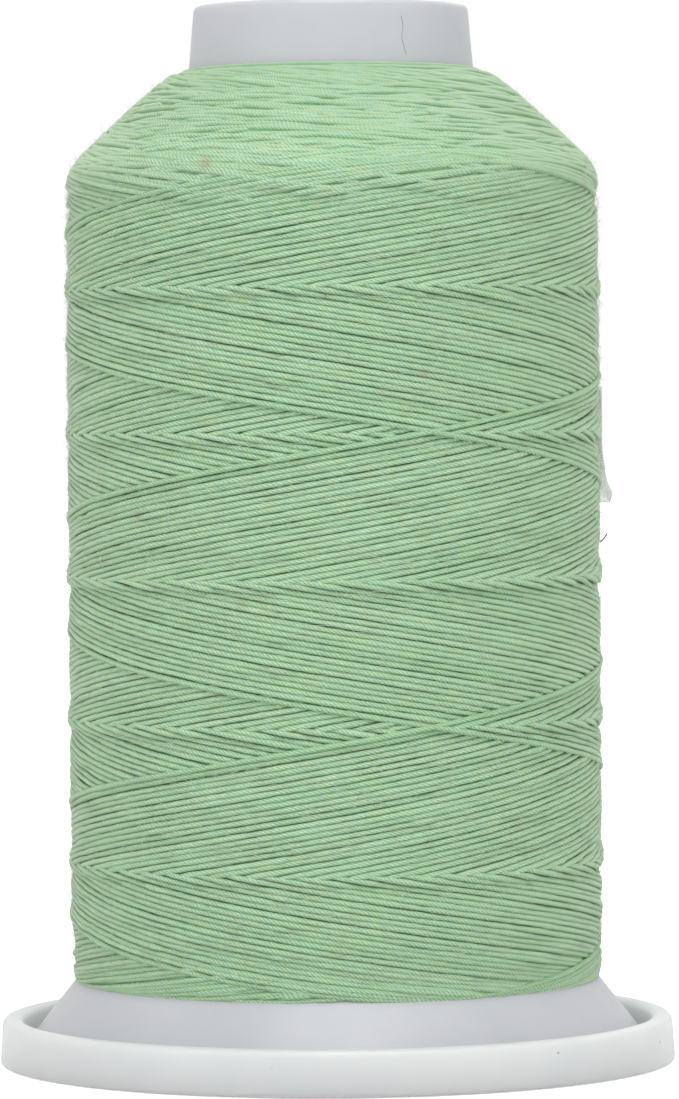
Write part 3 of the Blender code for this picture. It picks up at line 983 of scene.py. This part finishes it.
def showing_runs(passes, surface):
    """Stretches of the passes that are not buried under later ones, a little longer at both ends."""
    runs = []
    for (angle, height, radius), drawn in zip(passes, settled(passes, surface)):
        showing = np.zeros(len(angle), bool)
        near_shoulder = height > SHOULDER_Z - SHOULDER_SHOWING_START
        depth = np.where(near_shoulder, SHOULDER_SHOWING_DEPTH, SHOWING_DEPTH)
        for step in range(-SUPPORT_ROWS, SUPPORT_ROWS + 1):
            showing |= radius + bulge(step) > surface[map_cell(angle, height, step)] - depth
        grown = np.convolve(showing, np.ones(2 * RUN_MARGIN + 1), mode="same") > 0
        edges = np.diff(np.concatenate([[0], grown.astype(int), [0]]))
        for start, end in zip(np.flatnonzero(edges == 1), np.flatnonzero(edges == -1)):
            if end - start > 2 * RUN_MARGIN + 2:
                from_end = np.minimum(np.arange(end - start), np.arange(end - start)[::-1])
                tuck = RUN_TUCK * STRAND * np.clip(1 - from_end / RUN_MARGIN, 0.0, 1.0) ** 2
                runs.append((angle[start:end], height[start:end], drawn[start:end] - tuck))
    return runs


def collar_turns(rng):
    """The last level turns, that close the thread against the collar."""
    angle = np.arange(0.0, COLLAR_TURN_ANGLE)
    turns = []
    for radius, height in COLLAR_TURNS:
        turns.append((angle, height + wobble(rng, angle, COLLAR_TURN_DRIFT), np.full_like(angle, radius)))
    return turns


def tube_curve(name, thickness, roundness, steps):
    """An empty curve whose splines become tubes, thickness in millimetres."""
    curve = bpy.data.curves.new(name, "CURVE")
    curve.dimensions = "3D"
    curve.bevel_depth = thickness / 2 * MM
    curve.bevel_resolution = roundness
    curve.resolution_u = steps
    return curve


def add_run(curve, points, widths):
    """A tube through the points, its widths as shares of the curve's thickness."""
    spline = curve.splines.new("POLY")
    spline.points.add(len(points) - 1)
    spline.points.foreach_set("co", np.column_stack([points, np.ones(len(points))]).ravel())
    spline.points.foreach_set("radius", widths)


def curve_mesh(curve):
    """The curve's tubes as a mesh, in the curve's place."""
    holder = add_object(curve.name, curve)
    mesh = evaluated_mesh(holder)
    bpy.data.objects.remove(holder)
    bpy.data.curves.remove(curve)
    return mesh


def strand_mesh(name, runs, rng):
    """Tubes along the runs; each vertex keeps its place round and along its strand, for the plies."""
    curve = tube_curve(name, STRAND, roundness=(STRAND_SIDES - 4) // 2, steps=1)
    turn = np.arange(STRAND_SIDES) / STRAND_SIDES * math.tau
    plies, outwards, tones = [], [], []
    for run in runs:
        picked = np.unique(np.append(np.arange(0, len(run[0]), RING_STEP), len(run[0]) - 1))
        angle, height, radius = (values[picked] for values in run)
        bearing = np.radians(angle)
        thickness = 1 + wobble(rng, THICKNESS_RATE * angle, THICKNESS_DRIFT)
        add_run(curve, on_spool(radius, bearing, height), thickness + SHOULDER_SPREAD * on_shoulder(height))
        along = bearing * PACKAGE_RADIUS
        ply = np.empty((len(picked), STRAND_SIDES, 3))
        ply[:, :, 0] = np.cos(turn)
        ply[:, :, 1] = np.sin(turn)
        ply[:, :, 2] = (along - along[0])[:, None] + rng.uniform(0, PLY_PITCH)
        plies.append(ply.reshape(-1, 3))
        # The package's outward direction at each ring, read by the material to paint shade down a strand's
        # sides
        narrowing = package_radius(height - LEAN_REACH) - package_radius(height + LEAN_REACH)
        lean = np.arctan(narrowing / (2 * LEAN_REACH))
        level = np.cos(lean)
        out = np.stack([np.sin(bearing) * level, -np.cos(bearing) * level, np.sin(lean)], axis=1)
        outwards.append(np.repeat(out, STRAND_SIDES, axis=0))
        tones.append(np.full(len(picked) * STRAND_SIDES, rng.normal(0.0, TONE_SPREAD)))
    mesh = curve_mesh(curve)
    tones = np.concatenate(tones)
    assert len(mesh.vertices) == len(tones)
    keep_vectors(mesh, "ply", np.concatenate(plies))
    keep_vectors(mesh, "outward", np.concatenate(outwards))
    mesh.attributes.new("tone", "FLOAT", "POINT").data.foreach_set("value", tones)
    mesh.shade_smooth()
    return mesh


def build_strands(cotton):
    """The outer layers of thread, in bands by height."""
    passes, surface = wind_package()
    runs = showing_runs(passes, surface)
    rng = np.random.default_rng(SEED + 1)
    runs += collar_turns(rng)
    for name, (low, high) in THREAD_BANDS.items():
        chosen = [run for run in runs if low <= run[1].mean() < high]
        mesh = strand_mesh(name, chosen, rng)
        add_piece(name, mesh, cotton, "spool", "strand_thread", "outer_winding")


def build_body(cotton):
    """The wound body that closes the gaps between the strands."""
    inner = PACKAGE_RADIUS - BODY_DEPTH * STRAND
    edge = PACKAGE_RADIUS - BODY_EDGE_DEPTH * STRAND
    shoulder = PACKAGE_RADIUS - BODY_SHOULDER_DEPTH * STRAND
    top = THREAD_TOP - BODY_BELOW_TOP
    corners = [
        (shoulder - (top - SHOULDER_Z) * SHOULDER_SLOPE, top, 0),
        (edge, SHOULDER_Z + (shoulder - edge) / SHOULDER_SLOPE, 1.2),
        (edge, SHOULDER_Z - BODY_EDGE_FOOT, 0.3),
        (inner, SHOULDER_Z - BODY_EDGE_ROOT, 0.3),
        (inner, skirt_height(inner) + BODY_GAP, 0),
        (core_radius(BODY_CORE_Z) + BODY_GAP, BODY_CORE_Z, 0),
        (core_radius(top) + BODY_GAP, top, 0),
    ]
    mesh = turned_mesh("thread_body", corners)
    # Outward direction for the material's painted side shade; here the surface's own normal
    keep_vectors(mesh, "outward", np.array([tuple(vertex.normal) for vertex in mesh.vertices]))
    add_piece("thread_body", mesh, cotton, "spool", "package_thread", "thread_package")


def build_fuzz(name, fibre, low, high, rng):
    """Short loose hairs that stand off the strands between two heights, most of them lying over."""
    curve = tube_curve(name, FIBRE, roundness=0, steps=1)
    share = np.linspace(0.0, 1.0, FUZZ_POINTS)
    for _ in range(FIBRES):
        height = rng.uniform(low, high)
        bearing = rng.uniform(0.0, math.tau)
        reach = rng.gamma(FUZZ_REACH_SHAPE, FUZZ_REACH)
        along = rng.normal(0.0, FUZZ_ALONG) * share**FUZZ_BEND
        up = rng.normal(0.0, FUZZ_UP) * share**FUZZ_BEND
        arch = np.sin(share * rng.uniform(*FUZZ_CURL))
        radius = package_radius(height) - FUZZ_ROOT + (reach + FUZZ_LIFT) * arch
        points = on_spool(radius, bearing + along / PACKAGE_RADIUS, height + up)
        add_run(curve, points, 1.0 - FUZZ_TAPER * share)
    add_piece(name, curve_mesh(curve), fibre, "spool", "strand_thread")


def build_stray_fibre(name, material, corners, thickness):
    """A stray fibre lying on the spool, through (degrees from the front, height, radius)."""
    curve = tube_curve(name, thickness, roundness=1, steps=6)
    curve.use_fill_caps = True
    spline = curve.splines.new("NURBS")
    spline.points.add(len(corners) - 1)
    spline.use_endpoint_u = True
    spline.order_u = 3
    for point, (bearing, height, radius) in zip(spline.points, corners):
        point.co = (*on_spool(radius, math.radians(bearing), height), 1.0)
    mesh = curve_mesh(curve)
    mesh.shade_smooth()
    add_piece(name, mesh, material, "spool", "strand_thread")


def build_tape(film):
    """A scrap of film bent round the package, with its lower edge curling off the thread."""
    shape = bmesh.new()
    bmesh.ops.create_grid(shape, x_segments=TAPE_COLUMNS, y_segments=TAPE_ROWS, size=0.5)
    for vert in shape.verts:
        across, up = vert.co.x + 0.5, vert.co.y + 0.5
        standing = max(0.0, 1 - up * TAPE_HEIGHT / FLARE_HEIGHT) ** FLARE_CURVE
        flare = FLARE * standing * (1 - FLARE_FADE * across)
        ripple = math.sin(across * CREASE_ACROSS + up * CREASE_UP)
        crease = CREASE * ripple * max(0.0, CREASE_TOP - up)
        radius = PACKAGE_RADIUS + TAPE_STANDOFF + flare + crease
        bearing = math.radians(TAPE_START) + across * TAPE_LENGTH / PACKAGE_RADIUS
        near_side = max(0.0, CORNER_WIDTH - across) / CORNER_WIDTH
        near_foot = max(0.0, CORNER_HEIGHT - up) / CORNER_HEIGHT
        height = TAPE_BOTTOM + up * TAPE_HEIGHT + CORNER_LIFT * near_side * near_foot
        vert.co = on_spool(radius, bearing, height)
    mesh = finished_mesh(shape, "film_tape")
    mesh.shade_smooth()
    tape = add_piece("film_tape", mesh, film, "spool", "clear_film", "tail_tape")
    thickness = tape.modifiers.new("film", "SOLIDIFY")
    thickness.thickness = TAPE_THICKNESS * MM
    thickness.offset = 1.0


def build_stage():
    """A wide pale floor just under the spool, which keeps its shadow."""
    shape = bmesh.new()
    bmesh.ops.create_grid(shape, x_segments=1, y_segments=1, size=FLOOR_SIZE)
    mesh = finished_mesh(shape, "floor")
    mesh.materials.append(pale_floor("pale_floor"))
    floor = add_object("floor", mesh)
    floor.location.z = BASE_LOW.z - FLOOR_GAP * MM


def build_light():
    """Plain soft studio light: white surroundings and four large lamps."""
    world = bpy.data.worlds.new("studio")
    bpy.context.scene.world = world
    world.use_nodes = True
    tree = world.node_tree
    strength = node(
        tree,
        "ShaderNodeMapRange",
        {"Value": seen_directly(tree), "To Min": WORLD_LIGHT, "To Max": 1.0},
    )
    wire(tree, tree.nodes["Background"], {"Color": WHITE, "Strength": strength.outputs[0]})
    for name, (place, power) in LAMPS.items():
        lamp = bpy.data.lights.new(name, "AREA")
        lamp.shape = "SQUARE"
        lamp.size = LAMP_SIZE
        lamp.energy = power
        holder = add_object(name, lamp)
        holder.location = place
        holder.rotation_euler = (LAMP_TARGET - Vector(place)).to_track_quat("-Z", "Y").to_euler()


def build_camera():
    """The photograph's view: nearly level, from a little above the middle, with a slight roll."""
    camera = bpy.data.cameras.new("photo_view")
    camera.sensor_fit = "VERTICAL"
    camera.sensor_height = SENSOR_HEIGHT
    camera.lens = SENSOR_HEIGHT * PIXELS_PER_MM * CAMERA_DISTANCE / PHOTO_HEIGHT
    camera.clip_start = 0.01
    camera.clip_end = 20.0
    holder = add_object("photo_view", camera)
    eye = Vector((EYE_SIDEWAYS, -CAMERA_DISTANCE, EYE_HEIGHT)) * MM
    aim = Vector((EYE_SIDEWAYS, 0.0, AIM_HEIGHT)) * MM
    turn = (aim - eye).to_track_quat("-Z", "Y").to_matrix().to_4x4()
    holder.matrix_world = Matrix.Translation(eye) @ turn @ Matrix.Rotation(-CAMERA_ROLL, 4, "Z")
    bpy.context.scene.camera = holder


def main():
    bpy.context.scene.view_settings.view_transform = "Standard"
    build_camera()
    build_light()
    build_stage()
    # The core is the same white polypropylene as the base, painted greyer: painted shade, as the collar
    # gets less of the floor's bounced light than the base's rim
    build_core(
        moulded_plastic(
            "core_polypropylene_painted_shade", "#CDCED3", "#C5C7CB", speck_rarity=0.93, milkiness=0.5, glow_depth=2.0
        )
    )
    build_base(
        moulded_plastic(
            "base_polypropylene", "#E2E3E5", "#DBDDDF", speck_rarity=0.3, milkiness=0.9, glow_depth=5.0
        )
    )
    # Valley and crown colours of the strands: the ramp between them is painted shade down the sides and in
    # the ply grooves, and the thread's own tone
    build_strands(cotton_thread("green_cotton_strand", "#93C692", "#C3E9CA", "#CDE9BE"))
    # The body is the same thread as the strands, painted a darker green: painted shade for the gaps it
    # shows through
    build_body(cotton_thread("green_cotton_body_painted_shade", "#93C692", "#BBDFB8", "#C0DFB0"))
    fibre = loose_fibre("loose_cotton_fibre", "#C6D3BB", "#E2E7DA")
    rng = np.random.default_rng(SEED + 2)
    build_fuzz("thread_lower_fuzz", fibre, PASS_BOTTOM + FUZZ_ABOVE_FOOT, FUZZ_SPLIT_Z, rng)
    build_fuzz("thread_upper_fuzz", fibre, FUZZ_SPLIT_Z, THREAD_TOP - FUZZ_BELOW_TOP, rng)
    dark_lint = loose_fibre("dark_lint", "#2E3A30", "#4A4A3C")
    build_stray_fibre("stray_dark_fibre", dark_lint, DARK_STRAY, DARK_STRAY_THICKNESS)
    grey_lint = loose_fibre("grey_lint", "#8F8F90", "#A9A9A8")
    on_collar = [(bearing, height, core_radius(height)) for bearing, height in PALE_STRAY]
    build_stray_fibre("stray_pale_fibre", grey_lint, on_collar, PALE_STRAY_THICKNESS)
    build_tape(clear_film("clear_tape_film"))


main()
